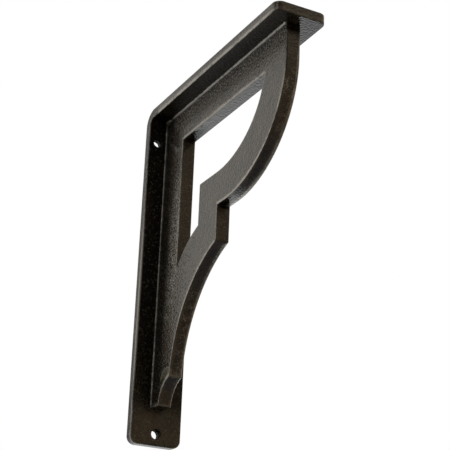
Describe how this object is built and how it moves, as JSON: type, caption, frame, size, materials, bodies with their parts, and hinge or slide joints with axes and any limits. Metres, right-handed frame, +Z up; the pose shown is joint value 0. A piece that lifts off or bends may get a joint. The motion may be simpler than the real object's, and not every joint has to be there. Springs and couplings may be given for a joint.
{
  "type": "steel shelf bracket",
  "caption": "L-shaped flat-bar shelf bracket with an openwork curved brace plate, screwed to a wall to carry a shelf or counter.",
  "frame": {"origin": "middle of the face of the upright leg that lies on the wall", "axes": "+Z up, +Y into the wall so that the bracket stands out towards -Y, X across the bar's width"},
  "size_m": [0.0508, 0.2604, 0.3364],
  "materials": {
    "mounting_flange": "dark rubbed bronze, satin",
    "brace_plate": "dark rubbed bronze, satin"
  },
  "bodies": {
    "root": {"mounting_flange": "mounting_flange", "brace_plate": "brace_plate"}
  },
  "joints": []
}
